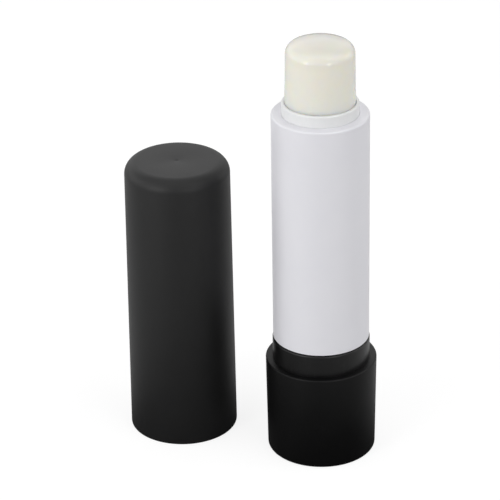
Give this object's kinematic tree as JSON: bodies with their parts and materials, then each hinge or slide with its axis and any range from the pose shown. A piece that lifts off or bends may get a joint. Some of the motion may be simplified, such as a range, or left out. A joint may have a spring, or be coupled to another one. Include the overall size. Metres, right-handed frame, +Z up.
{
  "type": "lip balm stick",
  "caption": "Twist-up balm stick: dark soft-touch grip, white sleeve with a raised lip, wax stick on a screw-driven cup, and its open-mouthed cap standing beside it.",
  "frame": {"origin": "on the stick's axis, at the surface it stands on", "axes": "+Z up along the stick's axis, towards the balm; the cap stands towards -X and a little towards +Y"},
  "size_m": [0.0428, 0.0273, 0.0756],
  "materials": {
    "soft_touch_black": "soft-touch matte",
    "satin_black": "satin moulded",
    "satin_white": "satin moulded",
    "natural_white": "satin moulded, slightly milky",
    "balm_wax": "waxy, slightly translucent"
  },
  "bodies": {
    "base": {"base_grip": "soft_touch_black", "collar": "satin_black", "spindle": "natural_white"},
    "tube": {"outer_sleeve": "satin_white", "inner_barrel": "natural_white"},
    "elevator": {"carrier": "natural_white", "balm": "balm_wax"},
    "loose_cap": {"cap": "soft_touch_black"}
  },
  "joints": [
    {"name": "twist", "type": "hinge", "parent": "base", "child": "tube", "pos_m": [0, 0, 0], "axis": [0, 0, 1], "range_deg": [-726, 2034]},
    {"name": "raise", "type": "slide", "parent": "tube", "child": "elevator", "axis": [0, 0, 1], "range_m": [-0.0121, 0.0339]},
    {"name": "cap_lift", "type": "slide", "parent": "base", "child": "loose_cap", "axis": [0, 0, 1], "range_m": [0, 0.06]}
  ],
  "couplings": [
    {"joint": "raise", "follows": "twist", "m_per_rad": 0.0009549}
  ]
}
